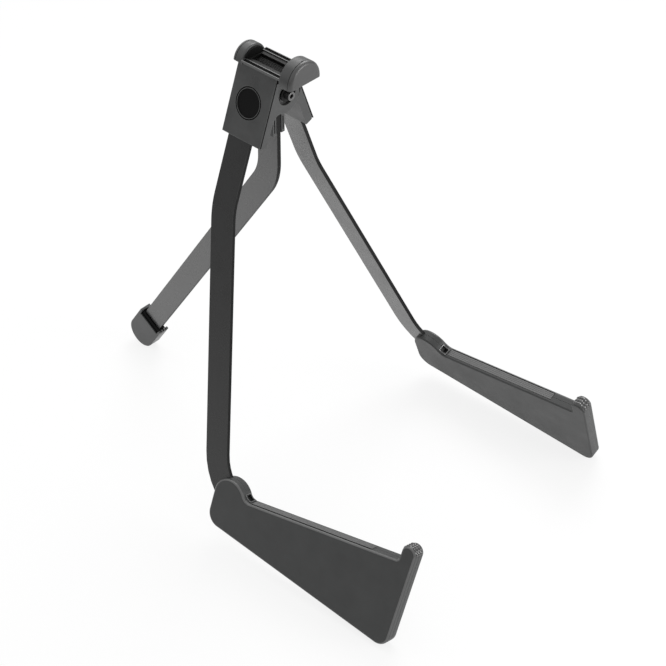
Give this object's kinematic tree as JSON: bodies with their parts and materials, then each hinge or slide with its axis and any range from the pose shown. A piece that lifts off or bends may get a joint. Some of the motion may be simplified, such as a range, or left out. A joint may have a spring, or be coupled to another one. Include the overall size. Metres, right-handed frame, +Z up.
{
  "type": "folding guitar stand",
  "caption": "Folding floor stand with leaning front legs, upturned padded arms, a hinged head and a rear leg, which holds one guitar upright.",
  "frame": {"origin": "middle of the footprint of the open stand, on the floor", "axes": "+Z up, the stand faces -Y, +X to its own right as seen from the front, and its mirror plane is X = 0"},
  "size_m": [0.2408, 0.3778, 0.3179],
  "materials": {
    "housing_plastic": "satin, finely grained",
    "cover_plastic": "satin, finely grained",
    "powder_coated_steel": "fine textured powder coat",
    "rubber": "matte",
    "plain_steel": "zinc plated",
    "black_plastic": "satin",
    "black_gloss_plastic": "half gloss"
  },
  "bodies": {
    "head": {"saddle_body": "housing_plastic", "front_bumper": "rubber", "rear_bumper": "rubber", "saddle_pad": "rubber", "saddle_screws": "plain_steel", "yoke": "housing_plastic", "hinge_axle": "plain_steel", "axle_washers": "plain_steel", "axle_cap": "black_plastic", "leg_pivot": "plain_steel", "pivot_washers": "plain_steel"},
    "left_leg": {"left_hub": "housing_plastic", "left_cover": "cover_plastic", "left_badge": "black_gloss_plastic", "left_leg_bar": "powder_coated_steel", "left_bar_screws": "plain_steel", "left_arm_outer": "housing_plastic", "left_arm_inner": "housing_plastic", "left_arm_dowels": "plain_steel", "left_seat_strip": "rubber"},
    "right_leg": {"right_hub": "housing_plastic", "right_cover": "cover_plastic", "right_badge": "black_gloss_plastic", "right_leg_bar": "powder_coated_steel", "right_bar_screws": "plain_steel", "right_arm_outer": "housing_plastic", "right_arm_inner": "housing_plastic", "right_arm_dowels": "plain_steel", "right_seat_strip": "rubber"},
    "rear_leg": {"rear_leg_bar": "powder_coated_steel", "rear_bush": "plain_steel", "rear_boot": "housing_plastic", "boot_insert": "rubber", "boot_pin": "plain_steel"}
  },
  "joints": [
    {"name": "left_leg_fold", "type": "hinge", "parent": "head", "child": "left_leg", "pos_m": [0, 0.00848, 0.29087], "axis": [0, -0.997, -0.078], "range_deg": [0, 21]},
    {"name": "right_leg_fold", "type": "hinge", "parent": "head", "child": "right_leg", "pos_m": [0, 0.00848, 0.29087], "axis": [0, 0.997, 0.078], "range_deg": [0, 21]},
    {"name": "rear_leg_fold", "type": "hinge", "parent": "head", "child": "rear_leg", "pos_m": [0, 0.00988, 0.27293], "axis": [-1, 0, 0], "range_deg": [0, 46]}
  ]
}
